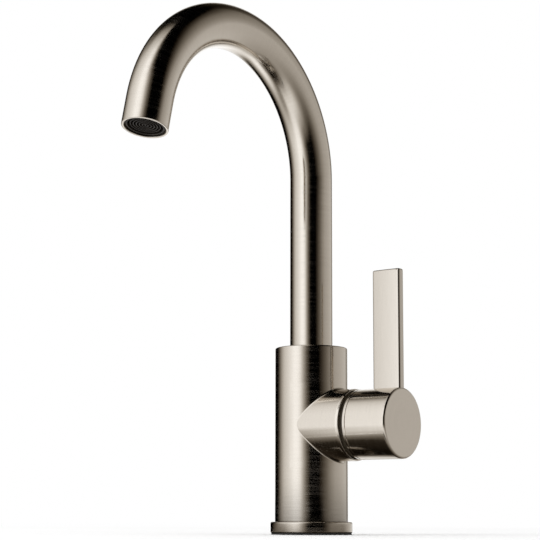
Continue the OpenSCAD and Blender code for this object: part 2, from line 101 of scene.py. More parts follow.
def lifted(height: float, x: float = 0.0, y: float = 0.0) -> Matrix:
    """Frame at a height, on the Z axis or aside from it."""
    return Matrix.Translation((x, y, height))


def turned(v: Vector, radius: float, height: float) -> Vector:
    """The point at a radius and height in the direction of v round the Z axis."""
    angle = math.atan2(v.y, v.x)
    return Vector((radius * math.cos(angle), radius * math.sin(angle), height))


def corners(edges: Iterable[BMEdge]) -> list[BMVert]:
    """The vertices of edges, each once."""
    return list(dict.fromkeys(vert for edge in edges for vert in edge.verts))


def edges_at(verts: Iterable[BMVert]) -> list[BMEdge]:
    """The edges at vertices, each once."""
    return list(dict.fromkeys(edge for vert in verts for edge in vert.link_edges))


def grow(bm: BMesh, edges: Sequence[BMEdge], move: Move) -> list[BMEdge]:
    """Extrudes a chain of edges and moves the vertices that this makes.

    Args:
        bm: mesh that holds the edges.
        edges: chain or loop of edges.
        move: gives a new vertex its place.

    Returns:
        The new chain, without the edges that join it to the old one.
    """
    made = bmesh.ops.extrude_edge_only(bm, edges=edges)["geom"]
    verts = {item for item in made if isinstance(item, BMVert)}
    for vert in verts:
        vert.co = move(vert)
    return [item for item in made if isinstance(item, BMEdge) and verts.issuperset(item.verts)]


def swept(bm: BMesh, edges: list[BMEdge], centre: Sequence[float], axis: Sequence[float], angle: float,
          steps: int) -> list[BMEdge]:
    """Spins a chain of edges about an axis.

    Args:
        bm: mesh that holds the edges.
        edges: chain or loop of edges.
        centre: point on the axis.
        axis: direction of the axis.
        angle: whole angle of the turn.
        steps: number of steps in it.

    Returns:
        The last chain.
    """
    made = bmesh.ops.spin(bm, geom=edges + corners(edges), cent=centre, axis=axis, angle=angle, steps=steps,
                          use_duplicate=False)
    return [item for item in made["geom_last"] if isinstance(item, BMEdge)]


def ring(bm: BMesh, radius: float, steps: int, matrix: Matrix) -> list[BMEdge]:
    """Wire circle about the matrix's Z axis, which starts a skin."""
    made = bmesh.ops.create_circle(bm, cap_ends=False, radius=radius, segments=steps, matrix=matrix)
    return edges_at(made["verts"])


def rounded(bm: BMesh, edges: list[BMEdge], size: float, steps: int = ROUND_STEPS) -> None:
    """Rounds edges to a radius, in a number of steps."""
    bmesh.ops.bevel(bm, geom=edges, offset=size, offset_type="OFFSET", segments=steps, profile=0.5,
                    affect="EDGES", clamp_overlap=True, material=-1)


class Turning:
    """A skin of rings about one axis, which grows from ring to ring as on a lathe."""

    def __init__(self, bm: BMesh, edges: list[BMEdge], axis: Matrix = Matrix()) -> None:
        """Starts at a ring that the mesh already has.

        Args:
            bm: mesh that holds the ring.
            edges: the ring.
            axis: frame whose Z is the turning's axis.
        """
        self.bm = bm
        self.first = edges
        self.edges = edges
        self.axis = axis
        self.back = axis.inverted()
        self.radius = 0.0
        self.height = 0.0
        self.roundings: list[tuple[list[BMEdge], float]] = []

    @classmethod
    def start(cls, bm: BMesh, radius: float, height: float, rounding: float = 0.0,
              axis: Matrix = Matrix(), steps: int = COLUMNS) -> "Turning":
        """Starts at a new ring with that many steps; the rest is as in to()."""
        return cls(bm, ring(bm, radius, steps, axis @ lifted(height)), axis).at(radius, height, rounding)

    def at(self, radius: float, height: float, rounding: float = 0.0) -> "Turning":
        """Notes the present ring.

        Args:
            radius: radius of the ring.
            height: place of the ring along the axis.
            rounding: radius that rounds the ring's edge in soften().

        Returns:
            The turning itself.
        """
        self.radius = radius
        self.height = height
        if rounding:
            self.roundings.append((self.edges, rounding))
        return self

    def to(self, radius: float, height: float, rounding: float = 0.0) -> "Turning":
        """Grows the next ring and notes it as at() does."""
        self.edges = grow(self.bm, self.edges, lambda v: self.axis @ turned(self.back @ v.co, radius, height))
        return self.at(radius, height, rounding)

    def face(self, radius: float, rounding: float = 0.0) -> "Turning":
        """Grows a flat face out or in to a radius."""
        return self.to(radius, self.height, rounding)

    def wall(self, height: float, rounding: float = 0.0) -> "Turning":
        """Grows a straight wall up or down to a height."""
        return self.to(self.radius, height, rounding)

    def ball(self, radius: float, start: float, end: float, steps: int) -> "Turning":
        """Grows rings along a sphere about the frame's origin.

        Args:
            radius: radius of the sphere.
            start: angle from the axis at the present ring.
            end: angle from the axis at the last ring.
            steps: number of new rings.

        Returns:
            The turning itself.
        """
        for step in range(1, steps + 1):
            angle = start + (end - start) * step / steps
            self.to(radius * math.sin(angle), radius * math.cos(angle))
        return self

    def cap(self) -> "Turning":
        """Closes the last ring with a flat face."""
        bmesh.ops.edgeloop_fill(self.bm, edges=self.edges)
        return self

    def close(self) -> "Turning":
        """Joins the last ring to the first."""
        bmesh.ops.bridge_loops(self.bm, edges=self.edges + self.first)
        return self

    def soften(self) -> None:
        """Rounds the edges that were named on the way."""
        for edges, size in self.roundings:
            rounded(self.bm, edges, size)


@dataclass(frozen=True)
class Hole:
    """Round hole in a flat face across Z."""

    x: float
    y: float
    radius: float
    steps: int = 64


def foot_holes(stud: float, inlet: float) -> tuple[Hole, ...]:
    """The stud's hole and the two inlets under the tap, by their radii."""
    return Hole(12 * MM, 0.0, stud), Hole(-8 * MM, -7.4 * MM, inlet), Hole(-8 * MM, 7.4 * MM, inlet)


def drilled(bm: BMesh, rim: list[BMEdge], height: float, holes: Sequence[Hole]) -> list[list[BMEdge]]:
    """Fills a flat ring with a face that round holes pierce.

    Args:
        bm: mesh that holds the ring.
        rim: outer ring of the face.
        height: height of the face.
        holes: the holes.

    Returns:
        The ring of each hole.
    """
    rings = [ring(bm, hole.radius, hole.steps, lifted(height, hole.x, hole.y)) for hole in holes]
    bmesh.ops.triangle_fill(bm, use_beauty=True, edges=sum(rings, rim))
    return rings


@dataclass(frozen=True)
class Port:
    """Round branch or hole on a sleeve about Z, with its axis along +X.

    A ball that rolls between sleeve and port gives a branch its fillet and a hole its rounded rim.
    """

    sleeve: float
    radius: float
    height: float
    rounding: float
    side_edges: int
    patch_rise: float
    is_branch: bool = False
    steps_across: int = 5
    steps_round: int = 4

    def ball_centre(self, turn: float) -> Vector:
        """Centre of the rolling ball.

        Args:
            turn: angle round the port's axis, from +Y.

        Returns:
            The centre.
        """
        reach = self.sleeve + self.rounding if self.is_branch else self.sleeve - self.rounding
        y = (self.radius + self.rounding) * math.cos(turn)
        z = self.height + (self.radius + self.rounding) * math.sin(turn)
        return Vector((math.sqrt(reach * reach - y * y), y, z))

    def on_sleeve(self, turn: float) -> Vector:
        """Where the ball touches the sleeve."""
        centre = self.ball_centre(turn)
        return turned(centre, self.sleeve, centre.z)

    def on_ball(self, turn: float, share: float) -> Vector:
        """Point of the rounding.

        Args:
            turn: angle round the port's axis, from +Y.
            share: 0 at the sleeve and 1 at the port.

        Returns:
            The point.
        """
        centre = self.ball_centre(turn)
        on_port = Vector((centre.x, self.radius * math.cos(turn), self.height + self.radius * math.sin(turn)))
        first = (self.on_sleeve(turn) - centre).normalized()
        last = (on_port - centre).normalized()
        return centre + first.slerp(last, share) * self.rounding

    def on_patch(self, turn: float, share: float) -> Vector:
        """Point of the patch of sleeve round the port, which ends in straight sides.

        Args:
            turn: angle round the port's axis, from +Y.
            share: 0 at the port and 1 at the patch's sides.

        Returns:
            The point.
        """
        inner = self.on_sleeve(turn)
        inner_angle = math.atan2(inner.y, inner.x)
        outer_angle = self.side_edges / 2 * COLUMN * zigzag(turn)
        outer_rise = self.patch_rise * zigzag(turn - math.pi / 2)
        angle = inner_angle + (outer_angle - inner_angle) * share
        height = inner.z + (self.height + outer_rise - inner.z) * share
        return Vector((self.sleeve * math.cos(angle), self.sleeve * math.sin(angle), height))


def zigzag(turn: float) -> float:
    """Side of a square at an angle from its first side's middle: 1 there, -1 opposite, even steps between."""
    wrapped = abs(math.remainder(turn, math.tau))
    return max(-1.0, min(1.0, 2 - wrapped / (math.pi / 4)))


class PortedBand:
    """Band of a sleeve about Z with one port, and the three rings that its skin goes on from."""

    WIDENING = 1.5

    def __init__(self, bm: BMesh, port: Port, azimuth: float = 0.0) -> None:
        """Builds the band's skin.

        Args:
            bm: mesh to add to.
            port: the port.
            azimuth: angle of the port's axis from +X.
        """
        known = set(bm.verts)
        turn = bm.verts.layers.float.get("turn") or bm.verts.layers.float.new("turn")
        start = ring(bm, 1.0, 4 * port.side_edges, Matrix())
        for vert in corners(start):
            vert[turn] = math.atan2(vert.co.y, vert.co.x)
            vert.co = port.on_sleeve(vert[turn])
        self.mouth = start
        for step in range(1, port.steps_round + 1):
            share = step / port.steps_round
            self.mouth = grow(bm, self.mouth, lambda v: port.on_ball(v[turn], share))
        patch = start
        for step in range(1, port.steps_across + 1):
            share = (step / port.steps_across) ** self.WIDENING
            patch = grow(bm, patch, lambda v: port.on_patch(v[turn], share))
        side_end = math.pi / 4 + COLUMN / 100
        side = [edge for edge in patch if all(abs(v[turn]) < side_end for v in edge.verts)]
        steps = COLUMNS - port.side_edges
        swept(bm, side, (0, 0, 0), (0, 0, 1), steps * COLUMN, steps)
        bmesh.ops.remove_doubles(bm, verts=[vert for vert in bm.verts if vert not in known], dist=MERGE)
        new = [vert for vert in bm.verts if vert not in known]
        self.low = self.rim(new, port.height - port.patch_rise)
        self.high = self.rim(new, port.height + port.patch_rise)
        bmesh.ops.rotate(bm, cent=(0, 0, 0), matrix=Matrix.Rotation(azimuth, 3, "Z"), verts=new)

    @staticmethod
    def rim(verts: Sequence[BMVert], height: float) -> list[BMEdge]:
        """The band's open edges at a height."""
        edges = [edge for edge in edges_at(verts) if edge.is_boundary]
        return [edge for edge in edges if all(abs(v.co.z - height) < MERGE for v in edge.verts)]


class Value:
    """Number socket on which Python's operators add Math nodes."""

    def __init__(self, shader: "Shader", socket: NodeSocket) -> None:
        """Wraps a socket of a shader."""
        self.shader = shader
        self.socket = socket

    def math(self, operation: str, other: Input = 0.0) -> "Value":
        """Adds a Math node on this value and another."""
        return self.shader.value("Math", "Value", {0: self, 1: other}, operation=operation)

    def __add__(self, other: Input) -> "Value":
        """Sum."""
        return self.math("ADD", other)

    def __sub__(self, other: Input) -> "Value":
        """Difference."""
        return self.math("SUBTRACT", other)

    def __rsub__(self, other: Input) -> "Value":
        """Difference from a number."""
        return self.shader.value("Math", "Value", {0: other, 1: self}, operation="SUBTRACT")

    def __mul__(self, other: Input) -> "Value":
        """Product."""
        return self.math("MULTIPLY", other)

    def __pow__(self, other: Input) -> "Value":
        """Power."""
        return self.math("POWER", other)

    __radd__ = __add__
    __rmul__ = __mul__

    def along(self, stops: Stops) -> "Value":
        """Follows a line of straight pieces.

        Args:
            stops: the line's corners, each as (this value, result).

        Returns:
            The result.
        """
        first, last = stops[0][0], stops[-1][0]
        peak = max(result for _, result in stops)
        places = [((at - first) / (last - first), (*(3 * [result / peak]), 1.0)) for at, result in stops]
        share = (self - first) * (1 / (last - first))
        return self.shader.value("ValToRGB", "Color", {"Fac": share}, stops=places) * peak

    def spread(self, low: float, high: float) -> "Value":
        """Runs from 0 at low to 1 at high, and no further."""
        return self.shader.value("MapRange", "Result", {"Value": self, "From Min": low, "From Max": high},
                                 interpolation_type="SMOOTHSTEP")


class Shader:
    """Material or world whose nodes are made in one way."""

    def __init__(self, owner: ID) -> None:
        """Empties the owner's node tree.

        Args:
            owner: the material or world.
        """
        owner.use_nodes = True
        self.tree = owner.node_tree
        self.tree.nodes.clear()

    def node(self, kind: str, inputs: dict[str | int, Input] | None = None, **settings: Any) -> Node:
        """Adds a node.

        Args:
            kind: Blender's type of the node, after the word ShaderNode.
            inputs: values, sockets, Values or nodes by the name or number of their input.
            settings: the node's properties, and a ramp's stops as (position, colour).

        Returns:
            The node.
        """
        made = self.tree.nodes.new("ShaderNode" + kind)
        for name, setting in settings.items():
            if name == "stops":
                self.set_stops(made.color_ramp, setting)
            else:
                setattr(made, name, setting)
        for name, given in (inputs or {}).items():
            if isinstance(given, Value):
                given = given.socket
            elif isinstance(given, Node):
                given = given.outputs[0]
            if isinstance(given, NodeSocket):
                self.tree.links.new(given, made.inputs[name])
            elif made.inputs[name].type == "RGBA":
                made.inputs[name].default_value = (*given, 1.0)
            else:
                made.inputs[name].default_value = given
        return made

    @staticmethod
    def set_stops(ramp: ColorRamp, stops: Sequence[tuple[float, Sequence[float]]]) -> None:
        """Gives a ramp its stops.

        Args:
            ramp: the ramp.
            stops: each as (position, colour).
        """
        while len(ramp.elements) < len(stops):
            ramp.elements.new(1.0)
        for element, (position, colour) in zip(ramp.elements, stops):
            element.position = position
            element.color = colour

    def value(self, kind: str, output: str, inputs: dict[str | int, Input] | None = None,
              **settings: Any) -> Value:
        """Adds a node as node() does, and gives one of its outputs as a Value."""
        return Value(self, self.node(kind, inputs, **settings).outputs[output])

    def place(self) -> NodeSocket:
        """Place on the object."""
        return self.node("TexCoord").outputs["Object"]

    def split(self, vector: Input) -> list[Value]:
        """The three numbers of a vector."""
        return [Value(self, socket) for socket in self.node("SeparateXYZ", {0: vector}).outputs]

    def seen(self, *rays: str) -> Value:
        """1 on rays of the kinds that are named, and 0 on all others."""
        path = self.node("LightPath").outputs
        return sum(Value(self, path[f"Is {ray} Ray"]) for ray in rays).math("MINIMUM", 1.0)

    def noise(self, vector: Input, scale: float, detail: float = 2.0) -> Value:
        """Adds a noise texture, from 0 to 1."""
        return self.value("TexNoise", "Fac", {"Vector": vector, "Scale": scale, "Detail": detail})

    def two_tone(self, share: Input, first: Input, second: Input) -> NodeSocket:
        """Mixes two colours by a share."""
        return self.node("Mix", {0: share, 6: first, 7: second}, data_type="RGBA").outputs[2]

    def bump(self, height: Input, depth: float) -> Node:
        """Turns a height from 0 to 1 into a normal, for a depth in metres."""
        return self.node("Bump", {"Strength": 1.0, "Distance": depth, "Height": height})

    def surface(self, kind: str, inputs: dict[str | int, Input]) -> None:
        """Ends a material with a shader."""
        self.node("OutputMaterial", {"Surface": self.node(kind, inputs)})


class Grain(Enum):
    """Which way the brushing runs."""

    AROUND_Z = auto()
    AROUND_VALVE = auto()
    AROUND_TUBE = auto()
    ALONG_Z = auto()


@dataclass(frozen=True)
class Metal:
    """Brushed or turned metal, with streaks that run round the piece or along it, and optionally painted
    shade towards the foot.
    """

    name: str
    colour: Colour
    grain: Grain = Grain.AROUND_Z
    smooth: float = 0.08
    rough: float = 0.19
    coarse: float = 1.1 * MM
    fine: float = 0.3 * MM
    streak: float = 24 * MM
    streak_edges: tuple[float, float] = (0.32, 0.68)
    streak_share: float = 0.6
    depth: float = 0.0014 * MM
    tint: float = 0.96
    clouds: float = 40.0
    # painted shade: share by which the colour is darkened towards the foot, fading out at foot_height
    painted_foot_shade: float = 0.0
    foot_height: float = 42 * MM
    valve_height: float = 70 * MM

    def grain_place(self, shader: Shader) -> tuple[Value, Value, Value]:
        """Coordinates of the grain.

        Args:
            shader: material to add to.

        Returns:
            Two coordinates along which the streaks are long, and one across them.
        """
        if self.grain is Grain.AROUND_TUBE:
            vector = shader.node("Attribute", attribute_name="straightened").outputs["Vector"]
        else:
            vector = shader.place()
        if self.grain is Grain.AROUND_VALVE:
            vector = shader.node("Mapping", {"Vector": vector, "Location": (0, 0, -self.valve_height)})
        x, y, z = shader.split(vector)
        if self.grain is Grain.ALONG_Z:
            return z, z, x + y
        if self.grain is Grain.AROUND_VALVE:
            return y, z, x + (y * y + z * z) ** 0.5
        return x, y, z + (x * x + y * y) ** 0.5

    def streaks(self, shader: Shader, place: tuple[Value, Value, Value], width: float) -> Value:
        """Noise that is long along the grain and narrow across it.

        Args:
            shader: material to add to.
            place: coordinates of the grain.
            width: size of the streaks across the grain.

        Returns:
            The noise, from 0 to 1.
        """
        first, second, across = place
        vector = shader.node("CombineXYZ", {0: first * (1 / self.streak), 1: second * (1 / self.streak),
                                            2: across * (1 / width)})
        return shader.noise(vector, 1.0, detail=1.0)

    def material(self) -> Material:
        """Makes the material.

        Returns:
            The material.
        """
        made = bpy.data.materials.new(self.name)
        shader = Shader(made)
        place = self.grain_place(shader)
        both = self.streaks(shader, place, self.coarse) * 0.5 + self.streaks(shader, place, self.fine) * 0.5
        share = both.spread(*self.streak_edges)
        cloud = shader.noise(shader.place(), self.clouds)
        dull = tuple(channel * self.tint for channel in self.colour)
        dulling = share * self.streak_share + cloud * (1 - self.streak_share)
        colour = shader.two_tone(dulling, self.colour, dull)
        # painted shade: the colour is made darker towards the foot, as a contact shadow would make it
        if self.painted_foot_shade:
            height = shader.split(shader.place())[2]
            shade = (1 - height.spread(0, self.foot_height)) * self.painted_foot_shade
            colour = shader.two_tone(shade, colour, BLACK)
        shader.surface("BsdfPrincipled", {
            "Base Color": colour,
            "Metallic": 1.0,
            "Roughness": self.smooth + share * (self.rough - self.smooth),
            "Normal": shader.bump(both, self.depth),
        })
        return made


@dataclass(frozen=True)
class Moulding:
    """Moulded plastic, rubber or pressed ceramic, with a fine skin and faint clouds."""

    name: str
    colour: Colour
    shade: Colour
    smooth: float
    rough: float
    pores: float
    depth: float
    shine: float = 0.5
    clouds: float = 160.0
    cloud_edges: tuple[float, float] = (0.35, 0.65)
    detail: float = 3.0

    def material(self) -> Material:
        """Makes the material.

        Returns:
            The material.
        """
        made = bpy.data.materials.new(self.name)
        shader = Shader(made)
        place = shader.place()
        share = shader.noise(place, self.clouds, self.detail).spread(*self.cloud_edges)
        pores = shader.noise(place, 1 / self.pores, self.detail)
        shader.surface("BsdfPrincipled", {
            "Base Color": shader.two_tone(share, self.colour, self.shade),
            "Roughness": self.smooth + (share * 0.5 + pores * 0.5) * (self.rough - self.smooth),
            "Specular IOR Level": self.shine,
            "Normal": shader.bump(pores, self.depth),
        })
        return made


class Finishes:
    """Every material of the tap, made when it is first asked for."""

    NICKEL = (0.70, 0.645, 0.573)
    # painted shade: the lever's colour is the same nickel made a little darker
    SHADED_LEVER_NICKEL = (0.645, 0.594, 0.528)
    # painted shade: a half-bright copy of the nickel for the base ring's flat top, as if shadowed at its
    # joint with the body
    SHADED_LEDGE_NICKEL = (0.36, 0.32, 0.27)
    BRASS = (0.69, 0.52, 0.27)
    STEEL = (0.60, 0.60, 0.59)
    DARK_STEEL = (0.08, 0.08, 0.08)

    ALL = {finish.name: finish for finish in (
        Metal("nickel_round_ring", NICKEL),
        Metal("nickel_ledge_painted_shade", SHADED_LEDGE_NICKEL),
        # the body's finish paints shade towards its foot
        Metal("nickel_round_body_painted_shade", NICKEL, painted_foot_shade=0.45),
        Metal("nickel_round_valve", NICKEL, Grain.AROUND_VALVE),
        Metal("nickel_round_tube", NICKEL, Grain.AROUND_TUBE),
        Metal("nickel_along_lever_shaded", SHADED_LEVER_NICKEL, Grain.ALONG_Z),
        Metal("turned_brass", BRASS, coarse=0.4 * MM, depth=0.012 * MM),
        Metal("turned_brass_valve", BRASS, Grain.AROUND_VALVE, coarse=0.4 * MM, depth=0.012 * MM),
        Metal("dark_steel", DARK_STEEL, smooth=0.35, rough=0.5),
        Metal("bright_steel", STEEL, Grain.AROUND_VALVE, smooth=0.2, rough=0.4, coarse=0.3 * MM),
        Moulding("black_rubber", (0.022, 0.022, 0.021), (0.034, 0.033, 0.031), 0.55, 0.8, 0.15 * MM,
                 0.02 * MM),
        Moulding("satin_black_plastic", (0.012, 0.009, 0.007), (0.017, 0.013, 0.01), 0.28, 0.42, 0.2 * MM,
                 0.006 * MM, shine=0.22),
        Moulding("bronze_plastic", (0.036, 0.028, 0.018), (0.044, 0.034, 0.022), 0.28, 0.42, 0.2 * MM,
                 0.006 * MM, shine=0.22),
        Moulding("milky_plastic", (0.80, 0.79, 0.75), (0.72, 0.71, 0.67), 0.35, 0.5, 0.25 * MM, 0.008 * MM),
        Moulding("lapped_ceramic", (0.87, 0.84, 0.77), (0.82, 0.79, 0.71), 0.12, 0.3, 0.05 * MM, 0.002 * MM),
    )}

    @staticmethod
    @cache
    def get(name: str) -> Material:
        """The material of that name, which is made once."""
        return Finishes.ALL[name].material()


class SubAssembly:
    """Part of the tap with its own pieces, and with CAD nodes that stay by the finish they get."""

    STAYING: ClassVar[dict[str, tuple[str, ...]]] = {}

    def put(self, name: str, bm: BMesh, nodes: Sequence[str], slot: str, *finishes: str) -> None:
        """Makes a piece of a finished skin and lets it stand for its CAD nodes.

        Args:
            name: name of the piece.
            bm: the skin, closed, which is freed.
            nodes: CAD nodes that the piece stands for; it rides on the first one's body.
            slot: material slot of the record; not used.
            finishes: names of the finishes, by the material number of the faces.
        """
        bmesh.ops.recalc_face_normals(bm, faces=bm.faces)
        open_edges = sum(1 for edge in bm.edges if not edge.is_manifold)
        turn = bm.verts.layers.float.get("turn")
        if turn:
            bm.verts.layers.float.remove(turn)
        mesh = bpy.data.meshes.new(name)
        bm.to_mesh(mesh)
        bm.free()
        mesh.shade_smooth()
        mesh.set_sharp_from_angle(angle=SHARP)
        for finish in finishes:
            mesh.materials.append(Finishes.get(finish))
        piece = bpy.data.objects.new(name, mesh)
        bpy.context.scene.collection.objects.link(piece)
        weighted = piece.modifiers.new("weighted_normals", "WEIGHTED_NORMAL")
        weighted.keep_sharp = True
        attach(piece, frame["nodes"][nodes[0]]["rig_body"])
        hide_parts(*nodes)
        log.info("%s: %d faces, %d open edges, for %s", name, len(mesh.polygons), open_edges, nodes)

    def dress(self) -> None:
        """Gives the CAD nodes that stay their finishes."""
        for finish, nodes in self.STAYING.items():
            for node in nodes:
                obj = frame["nodes"][node]
                if not obj.material_slots:
                    obj.data.materials.append(None)
                for slot in obj.material_slots:
                    slot.material = Finishes.get(finish)
                log.info("%s: CAD node, finished in %s", node, finish)


@dataclass
class BodyCasting(SubAssembly):
    """Upright body with its branch, sockets and threaded holes, and the stop screw behind it."""

    STAYING = {"bright_steel": ("spout_screw",)}
    box_low, box_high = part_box("body")
    radius: float = box_high.y
    top: float = box_high.z
    underside: float = box_low.z
    foot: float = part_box("base_ring")[1].z
    reach: float = box_high.x
    valve_height: float = (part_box("handle_knob")[0].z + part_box("handle_knob")[1].z) / 2
    top_edge: float = 0.9 * MM
    branch_inset: float = 0.5 * MM
    branch_edge: float = 0.4 * MM
    branch_set_back: float = 1.5 * MM
    patch_margin: float = 4 * MM
    fillet: float = 1.5 * MM
    lip_width: float = 1.8 * MM
    lip_drop: float = 0.38 * MM
    sleeve_radius: float = 13.73 * MM
    sleeve_depth: float = 5 * MM
    socket_radius: float = 12.28 * MM
    socket_depth: float = 32 * MM
    stop_drop: float = 10 * MM
    stop_hole: float = 2.5 * MM
    stop_patch: float = 4.6 * MM
    collar_radius: float = 21 * MM
    collar_depth: float = 3.3 * MM
    nut_radius: float = 19.25 * MM
    nut_depth: float = 10.3 * MM
    cartridge_radius: float = 17.6 * MM
    cartridge_depth: float = 33.75 * MM
    spigot_inset: float = 2.05 * MM
    holes: tuple[Hole, ...] = foot_holes(3.4 * MM, 4.5 * MM)
    hole_depths: tuple[float, ...] = (16 * MM, 13 * MM, 13 * MM)
    tip_radius: float = 0.2
    tip_length: float = 0.5

    def build(self) -> None:
        """Builds the casting as one closed skin."""
        bm = bmesh.new()
        branch = Port(self.radius, self.radius - self.branch_inset, self.valve_height, self.fillet,
                      COLUMNS // 2, self.radius + self.patch_margin, True, steps_across=8, steps_round=6)
        stop = Port(self.radius, self.stop_hole, self.top - self.stop_drop, FINE, 12, self.stop_patch)
        lower = PortedBand(bm, branch)
        upper = PortedBand(bm, stop, azimuth=math.pi / 2)
        bmesh.ops.bridge_loops(bm, edges=lower.high + upper.low)
        screw_hole = Turning(bm, upper.mouth, lifted(stop.height) @ TO_Y)
        for turning in (self.socket(bm, upper.high), self.spigot(bm, lower.low), self.branch(bm, lower.mouth),
                        screw_hole.to(self.stop_hole, self.socket_radius + 0.2 * MM).cap()):
            turning.soften()
        for face in bm.faces:
            centre = face.calc_center_median()
            out = math.hypot(centre.x, centre.y) > self.radius + self.fillet / 3
            face.material_index = int(out and abs(centre.z - self.valve_height) < self.radius)
        self.put("tap_body", bm, ["body"], "nickel_on_brass", "nickel_round_body_painted_shade", "nickel_round_valve")

    def socket(self, bm: BMesh, edges: list[BMEdge]) -> Turning:
        """Top face and the spout's socket.

        Args:
            bm: the casting's mesh.
            edges: the upper band's top ring.

        Returns:
            The turning that made them.
        """
        turning = Turning(bm, edges).to(self.radius, self.top, self.top_edge).face(self.sleeve_radius, FINE)
        turning.wall(self.top - self.sleeve_depth).face(self.socket_radius, SOFT)
        return turning.wall(self.top - self.socket_depth).cap()

    def spigot(self, bm: BMesh, edges: list[BMEdge]) -> Turning:
        """Foot of the body, the spigot inside the base ring and the holes in its underside.

        Args:
            bm: the casting's mesh.
            edges: the lower band's bottom ring.

        Returns:
            The turning that made the foot and the spigot.
        """
        turning = Turning(bm, edges).to(self.radius, self.foot, FINE).face(self.radius - self.spigot_inset)
        rings = drilled(bm, turning.wall(self.underside, BROAD).edges, self.underside, self.holes)
        for hole, rim, depth in zip(self.holes, rings, self.hole_depths):
            end = self.underside + depth
            bore = Turning(bm, rim, lifted(0, hole.x, hole.y)).at(hole.radius, self.underside, BROAD)
            bore.wall(end).to(hole.radius * self.tip_radius, end + hole.radius * self.tip_length)
            bore.cap().soften()
        return turning

    def branch(self, bm: BMesh, edges: list[BMEdge]) -> Turning:
        """Branch for the valve and the cartridge's bore.

        Args:
            bm: the casting's mesh.
            edges: ring at the branch's root.

        Returns:
            The turning that made them.
        """
        face = self.reach - self.branch_set_back
        outside = self.radius - self.branch_inset
        turning = Turning(bm, edges, lifted(self.valve_height) @ TO_X)
        turning.to(outside, face - self.lip_width, BROAD).to(outside - self.lip_drop, face, self.branch_edge)
        turning.face(self.collar_radius, FINE)
        turning.wall(self.reach - self.collar_depth).face(self.nut_radius).wall(self.reach - self.nut_depth)
        return turning.face(self.cartridge_radius).wall(self.reach - self.cartridge_depth).cap()


@dataclass
class Base(SubAssembly):
    """Base ring and the gasket under it."""

    ring_low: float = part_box("base_ring")[0].z
    ring_top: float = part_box("base_ring")[1].z
    ring_radius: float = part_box("base_ring")[1].y
    top_edge: float = 1 * MM
    low_edge: float = 0.7 * MM
    bore: float = 21.8 * MM
    gasket_radius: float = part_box("base_gasket")[1].y
    gasket_edge: float = 0.25 * MM
    holes: tuple[Hole, ...] = foot_holes(4 * MM, 5.3 * MM)

    def build(self) -> None:
        """Turns the ring and cuts the gasket."""
        bm = bmesh.new()
        turning = Turning.start(bm, self.bore, self.ring_top, HAIR).face(self.ring_radius, self.top_edge)
        turning.wall(self.ring_low, self.low_edge).face(self.bore, HAIR).close().soften()
        # the ring's flat top gets the second finish, which paints shade on it
        for face in bm.faces:
            face.material_index = int(face.calc_center_median().z > self.ring_top - LEVEL)
        self.put("tap_base_ring", bm, ["base_ring"], "nickel_on_brass", "nickel_round_ring", "nickel_ledge_painted_shade")
        bm = bmesh.new()
        turning = Turning.start(bm, self.gasket_radius, 0.0, self.gasket_edge)
        turning.wall(self.ring_low, self.gasket_edge)
        low = drilled(bm, turning.first, 0.0, self.holes)
        high = drilled(bm, turning.edges, self.ring_low, self.holes)
        for first, second in zip(low, high):
            bmesh.ops.bridge_loops(bm, edges=first + second)
        turning.soften()
        self.put("tap_gasket", bm, ["base_gasket"], "rubber", "black_rubber")


